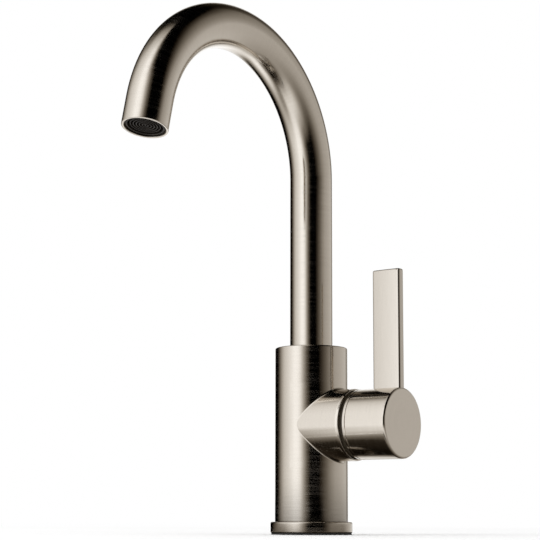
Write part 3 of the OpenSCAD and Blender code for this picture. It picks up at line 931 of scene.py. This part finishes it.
@dataclass
class Spout(SubAssembly):
    """Bent tube with the mouth in its end, the slip ring under it and the foot in the body."""

    STAYING = {"turned_brass": ("spout_foot",), "milky_plastic": ("lower_bearing_ring",),
               "black_rubber": ("spout_o_rings",)}
    low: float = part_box("spout_tube")[0].z
    top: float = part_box("spout_tube")[1].z
    radius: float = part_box("spout_tube")[1].x
    wall: float = 1.5 * MM
    arc_radius: float = 83 * MM
    arc_angle: float = math.radians(167)
    arc_steps: int = 112
    steps_round: int = 128
    tip: float = 18 * MM
    outer_edge: float = 0.45 * MM
    inner_edge: float = 0.35 * MM
    rim_depth: float = 2.2 * MM
    thread_radius: float = 11.5 * MM
    thread_depth: float = 12.2 * MM
    thread_edge: float = 0.25 * MM
    throat_radius: float = 9.3 * MM
    body_top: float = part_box("body")[1].z
    slip_top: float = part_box("upper_bearing_ring")[1].z
    slip_outer: float = 13.9 * MM
    slip_edge: float = 0.12 * MM
    slip_low_edge: float = 0.08 * MM
    slip_sleeve: float = 13.68 * MM
    slip_bore: float = 12.25 * MM
    slip_depth: float = 5 * MM

    @property
    def arc_height(self) -> float:
        """Height of the arc's centre."""
        return self.top - self.radius - self.arc_radius

    @property
    def mouth(self) -> Matrix:
        """Frame in the mouth's rim.

        Returns:
            The frame, with Z upstream.
        """
        end = lifted(self.arc_height + self.arc_radius * math.sin(self.arc_angle),
                     y=-self.arc_radius * (1 - math.cos(self.arc_angle)))
        return end @ Matrix.Rotation(self.arc_angle - math.pi, 4, "X") @ lifted(-self.tip)

    def straighten(self, point: Vector) -> Vector:
        """Where a point of the tube lies when the tube is bent straight again.

        Args:
            point: point of the bent tube.

        Returns:
            Its place across the tube as x and y, and along it as z.
        """
        y = point.y + self.arc_radius
        z = point.z - self.arc_height
        angle = math.atan2(z, y)
        if z <= 0 < y:
            return point.copy()
        if 0 <= angle <= self.arc_angle:
            along = self.arc_height + self.arc_radius * angle
            return Vector((point.x, math.hypot(y, z) - self.arc_radius, along))
        local = self.mouth.inverted() @ point
        along = self.arc_height + self.arc_radius * self.arc_angle + self.tip - local.z
        return Vector((point.x, -local.y, along))

    def build(self) -> None:
        """Builds the tube and the slip ring."""
        self.tube()
        bm = bmesh.new()
        turning = Turning.start(bm, self.slip_bore, self.slip_top).face(self.slip_outer, self.slip_edge)
        turning.wall(self.body_top + LEVEL, self.slip_low_edge).face(self.slip_sleeve)
        turning.wall(self.body_top - self.slip_depth, SOFT).face(self.slip_bore).close().soften()
        self.put("tap_slip_ring", bm, ["upper_bearing_ring"], "black_plastic", "satin_black_plastic")

    def tube(self) -> None:
        """Bends the tube with both its walls and turns the mouth in its end."""
        bm = bmesh.new()
        inner = self.radius - self.wall
        walls = [ring(bm, radius, self.steps_round, lifted(self.low)) for radius in (self.radius, inner)]
        bmesh.ops.bridge_loops(bm, edges=walls[0] + walls[1])
        rise = Vector((0, 0, self.arc_height - self.low))
        ends = [grow(bm, wall, lambda v: v.co + rise) for wall in walls]
        centre = (0, -self.arc_radius, self.arc_height)
        ends = [swept(bm, end, centre, (1, 0, 0), self.arc_angle, self.arc_steps) for end in ends]
        turning = Turning(bm, ends[0], self.mouth).to(self.radius, 0, self.outer_edge)
        turning.face(inner, self.inner_edge).wall(self.rim_depth).face(self.thread_radius, self.thread_edge)
        turning.wall(self.thread_depth).face(self.throat_radius).wall(self.tip)
        bmesh.ops.bridge_loops(bm, edges=turning.edges + ends[1])
        turning.soften()
        rounded(bm, walls[0], self.inner_edge)
        straight = bm.verts.layers.float_vector.new("straightened")
        for vert in bm.verts:
            vert[straight] = self.straighten(vert.co)
        self.put("tap_spout", bm, ["spout_tube", "spout_mouth"], "nickel_on_brass", "nickel_round_tube")


@dataclass
class Aerator(SubAssembly):
    """Insert in the spout's mouth: cup, straightening rings, screens, flow puck and seal."""

    STAYING = {"dark_steel": ("aerator_screens",), "milky_plastic": ("flow_regulator",),
               "black_rubber": ("aerator_seal",)}
    mouth: Matrix
    steps_round: int = 96
    cup_radius: float = 11.45 * MM
    cup_wall: float = 0.9 * MM
    cup_low: float = 1 * MM
    cup_high: float = 10.7 * MM
    flange_radius: float = 12.38 * MM
    flange_low: float = 1.6 * MM
    flange_high: float = 3.0 * MM
    ledge_low: float = 4.4 * MM
    ledge_high: float = 5.4 * MM
    ledge_width: float = 1.9 * MM
    rings: int = 5
    outer_ring: float = 8.9 * MM
    ring_wall: float = 0.75 * MM
    ring_low: float = 1.5 * MM
    ring_high: float = 4.3 * MM
    pin_steps: int = 32
    pin_set_back: float = 0.2 * MM
    spokes: int = 3
    spoke_gap: float = 0.15 * MM
    spoke_set_back: float = 0.9 * MM
    spoke_drop: float = 0.6 * MM

    def build(self) -> None:
        """Turns the cup and moulds the rings on their spokes."""
        bm = bmesh.new()
        inner = self.cup_radius - self.cup_wall
        turning = Turning.start(bm, self.flange_radius, self.flange_low, SOFT, self.mouth, self.steps_round)
        turning.wall(self.flange_high).face(self.cup_radius).wall(self.cup_high, FINE).face(inner)
        turning.wall(self.ledge_high).face(self.cup_radius - self.ledge_width).wall(self.ledge_low)
        turning.face(inner).wall(self.cup_low, FINE).face(self.cup_radius, FINE).wall(self.flange_low)
        turning.close().soften()
        self.put("tap_aerator_cup", bm, ["aerator_housing"], "black_plastic", "satin_black_plastic")
        bm = bmesh.new()
        half = self.ring_wall / 2
        step = self.outer_ring / self.rings
        for index in range(1, self.rings + 1):
            middle = index * step
            turning = Turning.start(bm, middle + half, self.ring_low, SOFT, self.mouth, self.steps_round)
            turning.wall(self.ring_high).face(middle - half).wall(self.ring_low, SOFT).close().soften()
        pin = Turning.start(bm, self.ring_wall, self.ring_high, 0.0, self.mouth, self.pin_steps).cap()
        pin.wall(self.ring_low + self.pin_set_back, SOFT).cap().soften()
        low = self.ring_low + self.spoke_set_back
        high = self.ring_high - self.spoke_drop
        size = Matrix.Diagonal((2 * (inner - self.spoke_gap), self.ring_wall, high - low, 1))
        for index in range(self.spokes):
            turn = Matrix.Rotation(index * math.pi / self.spokes, 4, "Z")
            place = self.mouth @ turn @ lifted((low + high) / 2)
            bar = bmesh.ops.create_cube(bm, size=1.0, matrix=place @ size)
            rounded(bm, edges_at(bar["verts"]), HAIR, 2)
        self.put("tap_aerator_rings", bm, ["aerator_grille"], "black_plastic", "satin_black_plastic")


@dataclass
class Valve(SubAssembly):
    """Cartridge in the branch and the domed collar in the gap between branch and handle."""

    STAYING = {"milky_plastic": ("cartridge_base", "cartridge_casing", "spindle_carrier", "disc_carrier"),
               "lapped_ceramic": ("fixed_disc", "moving_disc"),
               "black_rubber": ("port_seals", "carrier_o_ring"),
               "turned_brass_valve": ("cartridge_nut",),
               "bright_steel": ("pivot_pin",)}
    pivot: Vector = field(default_factory=lambda: Vector(frame["joints"][1]["pos_m"]))
    dome: float = 24.23 * MM
    dome_wall: float = 1.7 * MM
    dome_steps: int = 12
    opening: float = math.radians(34)
    collar_radius: float = 20.95 * MM
    collar_foot: float = 7.6 * MM
    bore_share: float = 0.88

    def build(self) -> None:
        """Turns the domed collar."""
        bm = bmesh.new()
        inner = self.dome - self.dome_wall
        shoulder = math.asin(self.collar_radius / self.dome)
        axis = Matrix.Translation(self.pivot) @ TO_X
        turning = Turning.start(bm, self.collar_radius, self.collar_foot, FINE, axis)
        turning.wall(self.dome * math.cos(shoulder), SOFT)
        turning.ball(self.dome, shoulder, self.opening, self.dome_steps)
        turning.to(inner * math.sin(self.opening), inner * math.cos(self.opening))
        turning.ball(inner, self.opening, math.asin(self.bore_share), self.dome_steps)
        turning.to(inner * self.bore_share, self.collar_foot).close().soften()
        self.put("tap_dome_collar", bm, ["dome_collar"], "black_plastic", "bronze_plastic")


@dataclass
class Handle(SubAssembly):
    """Round handle with its hollow, the slightly crowned flat lever, and the plug over the set screw."""

    STAYING = {"bright_steel": ("spindle", "handle_set_screw", "lever_screws"),
               "milky_plastic": ("spindle_sleeve",)}
    pivot: Vector = field(default_factory=lambda: Vector(frame["joints"][2]["pos_m"]))
    radius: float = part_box("handle_knob")[1].y
    inboard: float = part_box("handle_knob")[0].x
    outboard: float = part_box("handle_knob")[1].x
    skirt: float = 2.4 * MM
    inboard_edge: float = 0.35 * MM
    bead_width: float = 2 * MM
    bead_groove: float = 0.22 * MM
    face_edge: float = 1.7 * MM
    hollow: float = 25.1 * MM
    hollow_steps: int = 16
    bore: float = 7.05 * MM
    bore_depth: float = 38.53 * MM
    screw_hole: float = 2.5 * MM
    screw_hole_end: float = 1 * MM
    plug_height: float = 32.48 * MM
    plug_hole: float = 3.05 * MM
    plug_seat: float = 3.2 * MM
    plug_patch: float = 5.2 * MM
    plug_radius: float = 3 * MM
    plug_thickness: float = 2.6 * MM
    plug_drop: float = 0.35 * MM
    plug_steps: int = 64
    dimple: tuple[float, float] = (1.2 * MM, 0.9 * MM)
    dimple_depth: float = 0.2 * MM
    lever_edge: float = 1.3 * MM
    lever_set_back: float = 0.5 * MM
    lever_crown: float = 0.45 * MM
    lever_cuts: int = 8

    @property
    def axis(self) -> Matrix:
        """Frame at the pivot, with Z outwards along the valve's axis and X down."""
        return Matrix.Translation(self.pivot) @ TO_X

    @property
    def plug_axis(self) -> Matrix:
        """The plug's axis in that frame, with Z outwards."""
        return lifted(self.plug_height) @ TO_Y

    def build(self) -> None:
        """Builds the handle's pieces."""
        self.knob()
        self.lever()
        self.plug()

    def knob(self) -> None:
        """Turns the round handle with its hollow and the set screw's hole."""
        bm = bmesh.new()
        low = self.inboard - self.skirt - self.pivot.x
        valley = low + self.bead_width
        band = PortedBand(bm, Port(self.radius, self.plug_hole, self.plug_height, FINE, 16, self.plug_patch),
                          azimuth=math.pi / 2)
        face = Turning(bm, band.high).to(self.radius, self.outboard - self.pivot.x, self.face_edge).cap()
        cup = Turning(bm, band.low).to(self.radius, valley + self.bead_groove, SOFT)
        cup.to(self.radius - self.bead_groove, valley).to(self.radius, valley - self.bead_groove, SOFT)
        rim_angle = math.acos(low / self.hollow)
        bore_angle = math.asin(self.bore / self.hollow)
        cup.wall(low, self.inboard_edge).face(self.hollow * math.sin(rim_angle), HAIR)
        cup.ball(self.hollow, rim_angle, bore_angle, self.hollow_steps).to(self.bore, self.bore_depth).cap()
        hole = Turning(bm, band.mouth, self.plug_axis).to(self.plug_hole, self.radius - self.plug_seat)
        hole.face(self.screw_hole).wall(self.bore + self.screw_hole_end).cap()
        for turning in (face, cup, hole):
            turning.soften()
        bmesh.ops.transform(bm, matrix=self.axis, verts=bm.verts)
        self.put("tap_handle", bm, ["handle_knob"], "nickel_on_brass", "nickel_round_valve")

    def lever(self) -> None:
        """Makes the flat bar; its foot goes into the round handle."""
        bm = bmesh.new()
        low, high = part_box("lever_bar")
        high = high - Vector((self.lever_set_back, 0, 0))
        size = high - low
        middle = Matrix.Translation((low + high) / 2)
        bmesh.ops.create_cube(bm, size=1.0, matrix=middle @ Matrix.Diagonal((*size, 1)))
        across = [edge for edge in bm.edges if abs(edge.verts[0].co.x - edge.verts[1].co.x) > size.x / 2]
        bmesh.ops.subdivide_edges(bm, edges=across, cuts=self.lever_cuts, use_grid_fill=True)
        for vert in bm.verts:
            share = (vert.co.x - (low.x + high.x) / 2) / (size.x / 2)
            vert.co.y -= math.copysign(self.lever_crown * share * share, vert.co.y)
        rounded(bm, [edge for edge in bm.edges if edge.calc_face_angle() > SHARP], self.lever_edge)
        # the lever's finish is the darker copy of the nickel, a painted shade
        self.put("tap_lever", bm, ["lever_bar"], "nickel_on_brass", "nickel_along_lever_shaded")

    def plug(self) -> None:
        """Turns the plug over the set screw, with a rounded rim and a shallow dimple."""
        bm = bmesh.new()
        top = self.radius - self.plug_drop
        axis = self.axis @ self.plug_axis
        turning = Turning.start(bm, self.plug_radius, top - self.plug_thickness, 0.0, axis, self.plug_steps)
        turning.cap().wall(top, SOFT).face(self.dimple[0], HAIR).to(self.dimple[1], top - self.dimple_depth)
        turning.cap().soften()
        self.put("tap_plug", bm, ["set_screw_plug"], "black_plastic", "satin_black_plastic")


@dataclass(frozen=True)
class Lamp:
    """Soft square lamp, which stands by its angle round the tap and its height, 1 m from the axis."""

    name: str
    azimuth: float
    height: float
    power: float
    size: float = 0.9
    target: float = 0.1

    def build(self) -> None:
        """Hangs the lamp and turns it to the tap; the metal doesn't mirror it."""
        lamp = bpy.data.lights.new(self.name, "AREA")
        lamp.shape = "SQUARE"
        lamp.size = self.size
        lamp.energy = self.power
        place = Vector((math.sin(self.azimuth), -math.cos(self.azimuth), self.height))
        made = bpy.data.objects.new(self.name, lamp)
        made.location = place
        made.rotation_mode = "QUATERNION"
        made.rotation_quaternion = (Vector((0, 0, self.target)) - place).to_track_quat("-Z", "Y")
        made.visible_glossy = False
        bpy.context.scene.collection.objects.link(made)


@dataclass
class Studio:
    """Floor, world, lamps, the ring of light that the metal mirrors, and the camera."""

    camera_azimuth: float = math.radians(35.14)
    camera_distance: float = 975.8 * MM
    camera_height: float = 12 * MM
    camera_yaw: float = math.radians(1.606)
    camera_pitch: float = math.radians(7.889)
    camera_roll: float = math.radians(0.162)
    camera_clip: tuple[float, float] = (0.05, 50.0)
    focal_pixels: float = 1485.6
    image_pixels: float = 540.0
    shift_pixels: float = 40.0
    sensor: float = 36.0
    lamps: tuple[Lamp, ...] = (Lamp("key", -0.6, 0.9, 3.6), Lamp("fill", 1.9, 0.8, 1.8))
    ambient: float = 0.92
    floor_radius: float = 6.0
    floor_steps: int = 64
    floor_colour: Colour = (0.93, 0.93, 0.93)
    # distances over which the floor goes over into white
    floor_fade: tuple[float, float] = (0.25, 0.9)
    glow_lift: float = 0.2 * MM
    dome_radius: float = 5.0
    dome_top: float = 0.02
    dome_steps: int = 128
    dome_rings: int = 32
    # lights by their angle round the tap, from the camera's side and to the left in the picture
    key_round: Stops = ((-180, 0), (5, 0), (15, 0.13), (25, 0.5), (35, 1.08), (43, 1.3), (55, 1.33),
                        (65, 1.16), (75, 1.02), (95, 0.77), (105, 0.52), (115, 0.26), (125, 0.06), (134, 0),
                        (180, 0))
    fill_round: Stops = ((-180, 0.1), (-158, 0.24), (-148, 0.32), (-138, 0.66), (-120, 0.62), (-80, 0.48),
                         (-64, 0.34), (-48, 0.16), (-34, 0.05), (-24, 0), (0, 0))
    # light behind the tap, by the angle to either side
    back_round: Stops = ((0, 0), (161, 0), (171, 0.9), (180, 1.25))
    # and by their angle above the floor
    key_up: Stops = ((0, 1), (56, 1), (66, 0.85), (76, 0.55), (90, 0.1))
    fill_up: Stops = ((0, 1), (15, 1), (25, 0.76), (35, 0.54), (45, 0.37), (55, 0.13), (64, 0), (90, 0))
    back_up: Stops = ((0, 1), (15, 0.9), (30, 0.8), (37, 0.5), (44, 0.03), (50, 0), (90, 0))
    # how much wider the key and narrower the fill is about its middle, by the angle above the floor
    key_middle: float = 58
    key_widening: Stops = ((0, 0), (15, 0), (27, 0.22), (46, 0.22), (56, 0.07), (90, 0.07))
    fill_middle: float = -120
    fill_narrowing: Stops = ((0, 0), (14, 0), (26, 0.6), (90, 0.6))
    # what the metal sees in the floor, round the tap and by the distance from it
    floor_round: Stops = ((-180, 0.85), (-172, 0.66), (-150, 0.55), (-130, 0.48), (-90, 0.43), (-60, 0.4),
                          (-45, 0.44), (-30, 0.62), (-10, 0.86), (10, 0.98), (40, 1.02), (55, 0.92),
                          (62, 0.75), (72, 0.42), (80, 0.32), (92, 0.32), (102, 0.5), (115, 0.85),
                          (130, 1.15), (150, 1.3), (170, 1.2), (180, 0.85))
    floor_out: Stops = ((0, 0), (0.06, 0.03), (0.09, 0.25), (0.11, 0.45), (0.13, 0.66), (0.16, 0.86),
                        (0.2, 1), (1, 1))
    floor_far: Stops = ((0, 0), (0.22, 0), (0.275, 0.14), (0.35, 0.42), (0.5, 0.74), (0.8, 0.96), (1, 1))
    # a pool of light on the floor behind the handle
    pool_round: Stops = ((-180, 0.6), (-165, 0.9), (-140, 0.9), (-115, 0.4), (-95, 0), (170, 0), (180, 0.6))
    pool_out: Stops = ((0, 0), (0.027, 0), (0.04, 0.7), (0.06, 1), (0.1, 0.9), (0.125, 0), (1, 0))
    # a low dark kerb with soft ends and a soft top, which hides the lit floor from the tap's foot
    kerb_round: Stops = ((-180, 0), (-38, 0), (-25, 1), (1, 1), (10, 0), (117, 0), (129, 1), (151, 1),
                         (163, 0), (180, 0))
    kerb_radius: float = 112 * MM
    kerb_solid: float = 13 * MM
    kerb_height: float = 28 * MM
    # a lower wall inside it, whose dimmer light the base ring mirrors
    wall_round: Stops = ((-180, 0.4), (-165, 0.6), (-140, 0.75), (-117, 0.55), (-90, 0.26), (-67, 0.23),
                         (-50, 0.2), (-36, 0.04), (-28, 0), (10, 0), (20, 0.26), (32, 0.75), (43, 0.9),
                         (54, 0.7), (73, 0.34), (96, 0.22), (115, 0.09), (126, 0.01), (134, 0), (160, 0),
                         (172, 0.3), (180, 0.4))
    wall_radius: float = 110 * MM
    wall_height: float = 8 * MM
    fence_low: float = 0.3 * MM
    # darker light is warmer, by these powers of its strength in green and blue
    warmth: tuple[float, float] = (1.065, 1.16)

    def build(self) -> None:
        """Sets up the studio."""
        scene = bpy.context.scene
        scene.view_settings.view_transform = "Standard"
        self.world(scene)
        self.surroundings()
        for lamp in self.lamps:
            lamp.build()
        self.camera(scene)

    def world(self, scene: Scene) -> None:
        """White behind everything, and a softer light on matt surfaces.

        Args:
            scene: scene that gets the world.
        """
        scene.world = bpy.data.worlds.new("studio")
        shader = Shader(scene.world)
        strength = shader.seen("Camera", "Glossy", "Transmission") * (1 - self.ambient) + self.ambient
        white = shader.node("Background", {"Color": WHITE, "Strength": strength})
        shader.node("OutputWorld", {"Surface": white})

    def surroundings(self) -> None:
        """Builds the floor, and the dome, floor glow, kerb and wall that only mirrors show."""
        bm = bmesh.new()
        bmesh.ops.create_circle(bm, cap_ends=True, radius=self.floor_radius, segments=self.floor_steps)
        self.stand("studio_floor", bm, self.floor, mirrored=False)
        bm = bmesh.new()
        dome = Turning.start(bm, self.dome_radius, 0.0, steps=self.dome_steps)
        dome.ball(self.dome_radius, math.pi / 2, self.dome_top, self.dome_rings).cap()
        self.stand("studio_dome", bm, self.dome)
        bm = bmesh.new()
        bmesh.ops.create_circle(bm, cap_ends=True, radius=self.dome_radius, segments=self.dome_steps,
                                matrix=lifted(self.glow_lift))
        self.stand("studio_floor_glow", bm, self.floor_glow)
        for name, radius, height, surface in (("studio_kerb", self.kerb_radius, self.kerb_height, self.kerb),
                                              ("studio_wall", self.wall_radius, self.wall_height, self.wall)):
            bm = bmesh.new()
            Turning.start(bm, radius, self.fence_low).wall(height)
            self.stand(name, bm, surface)

    def stand(self, name: str, bm: BMesh, surface: Callable[[Shader], None], mirrored: bool = True) -> None:
        """Makes an object of the studio, which isn't part of the tap.

        Args:
            name: name of the object and its material.
            bm: its mesh, which is freed.
            surface: adds the nodes of its material.
            mirrored: whether it shows in reflections only.
        """
        material = bpy.data.materials.new(name)
        surface(Shader(material))
        mesh = bpy.data.meshes.new(name)
        bm.to_mesh(mesh)
        bm.free()
        mesh.materials.append(material)
        made = bpy.data.objects.new(name, mesh)
        bpy.context.scene.collection.objects.link(made)
        if mirrored:
            for rays in ("camera", "diffuse", "transmission", "volume_scatter", "shadow"):
                setattr(made, "visible_" + rays, False)

    def polar(self, shader: Shader) -> tuple[Value, Value, Value]:
        """Place on an object of the studio.

        Args:
            shader: material to add to.

        Returns:
            Angle round the tap in degrees, from the camera's side and to the left in the picture, then the
            distance from the axis and the height.
        """
        x, y, z = shader.split(shader.place())
        sine = math.sin(self.camera_azimuth)
        cosine = math.cos(self.camera_azimuth)
        ahead = x * sine - y * cosine
        aside = x * -cosine - y * sine
        return aside.math("ARCTAN2", ahead) * math.degrees(1), (x * x + y * y) ** 0.5, z

    def glow(self, shader: Shader, strength: Value) -> None:
        """Ends a material with light, warmer where it is darker.

        Args:
            shader: material to end.
            strength: how bright the light is; 1 is white.
        """
        green, blue = self.warmth
        colour = shader.node("CombineColor", {0: strength, 1: strength ** green, 2: strength ** blue})
        shader.surface("Emission", {"Color": colour, "Strength": 1.0})

    def floor(self, shader: Shader) -> None:
        """Pale floor that keeps the tap's shadow and goes over into the white background.

        Args:
            shader: the floor's material.
        """
        x, y, _ = shader.split(shader.place())
        far = ((x * x + y * y) ** 0.5).spread(*self.floor_fade)
        matt = shader.node("BsdfDiffuse", {"Color": self.floor_colour})
        white = shader.node("Emission", {"Color": WHITE, "Strength": 1.0})
        shader.surface("MixShader", {0: far * shader.seen("Camera", "Glossy"), 1: matt, 2: white})

    def dome(self, shader: Shader) -> None:
        """Soft lights round the tap, with dark gaps between them.

        Args:
            shader: the dome's material.
        """
        turn, _, z = self.polar(shader)
        up = (z * (1 / self.dome_radius)).math("MINIMUM", 1.0).math("ARCSINE") * math.degrees(1)
        key_turn = (turn - self.key_middle) * (1 - up.along(self.key_widening)) + self.key_middle
        fill_turn = (turn - self.fill_middle) * (up.along(self.fill_narrowing) + 1) + self.fill_middle
        key = key_turn.along(self.key_round) * up.along(self.key_up)
        fill = fill_turn.along(self.fill_round) * up.along(self.fill_up)
        back = turn.math("ABSOLUTE").along(self.back_round) * up.along(self.back_up)
        self.glow(shader, key + fill + back)

    def floor_glow(self, shader: Shader) -> None:
        """What the metal sees in the floor, which far out goes over into the dome's light.

        Args:
            shader: the floor glow's material.
        """
        turn, out, _ = self.polar(shader)
        far = out.along(self.floor_far)
        near = turn.along(self.floor_round) * out.along(self.floor_out)
        near = near + turn.along(self.pool_round) * out.along(self.pool_out)
        back = turn.math("ABSOLUTE").along(self.back_round)
        horizon = turn.along(self.key_round) + turn.along(self.fill_round) + back
        self.glow(shader, near * (1 - far) + horizon * far)

    def kerb(self, shader: Shader) -> None:
        """Black that is clear at the kerb's ends and top.

        Args:
            shader: the kerb's material.
        """
        turn, _, z = self.polar(shader)
        share = turn.along(self.kerb_round) * (1 - z.spread(self.kerb_solid, self.kerb_height))
        clear = shader.node("BsdfTransparent", {"Color": WHITE})
        dark = shader.node("Emission", {"Color": BLACK, "Strength": 0.0})
        shader.surface("MixShader", {0: share, 1: clear, 2: dark})

    def wall(self, shader: Shader) -> None:
        """Light of the low wall."""
        self.glow(shader, self.polar(shader)[0].along(self.wall_round))

    def camera(self, scene: Scene) -> None:
        """Camera at the photograph's angle.

        Args:
            scene: scene that gets the camera.
        """
        data = bpy.data.cameras.new("camera")
        data.sensor_width = self.sensor
        data.lens = self.focal_pixels / self.image_pixels * self.sensor
        data.shift_y = self.shift_pixels / self.image_pixels
        data.clip_start, data.clip_end = self.camera_clip
        made = bpy.data.objects.new("camera", data)
        made.matrix_world = (Matrix.Rotation(self.camera_azimuth, 4, "Z")
                             @ lifted(self.camera_height, y=-self.camera_distance)
                             @ Matrix.Rotation(self.camera_yaw, 4, "Z")
                             @ Matrix.Rotation(math.pi / 2 + self.camera_pitch, 4, "X")
                             @ Matrix.Rotation(self.camera_roll, 4, "Z"))
        scene.collection.objects.link(made)
        scene.camera = made


def main() -> None:
    """Builds and finishes every sub-assembly of the tap and sets up the studio."""
    logging.basicConfig(level=logging.INFO, format="%(message)s", stream=sys.stdout)
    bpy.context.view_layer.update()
    Studio().build()
    spout = Spout()
    for part in (BodyCasting(), Base(), spout, Aerator(spout.mouth), Valve(), Handle()):
        part.build()
        part.dress()


if __name__ == "__main__":
    main()
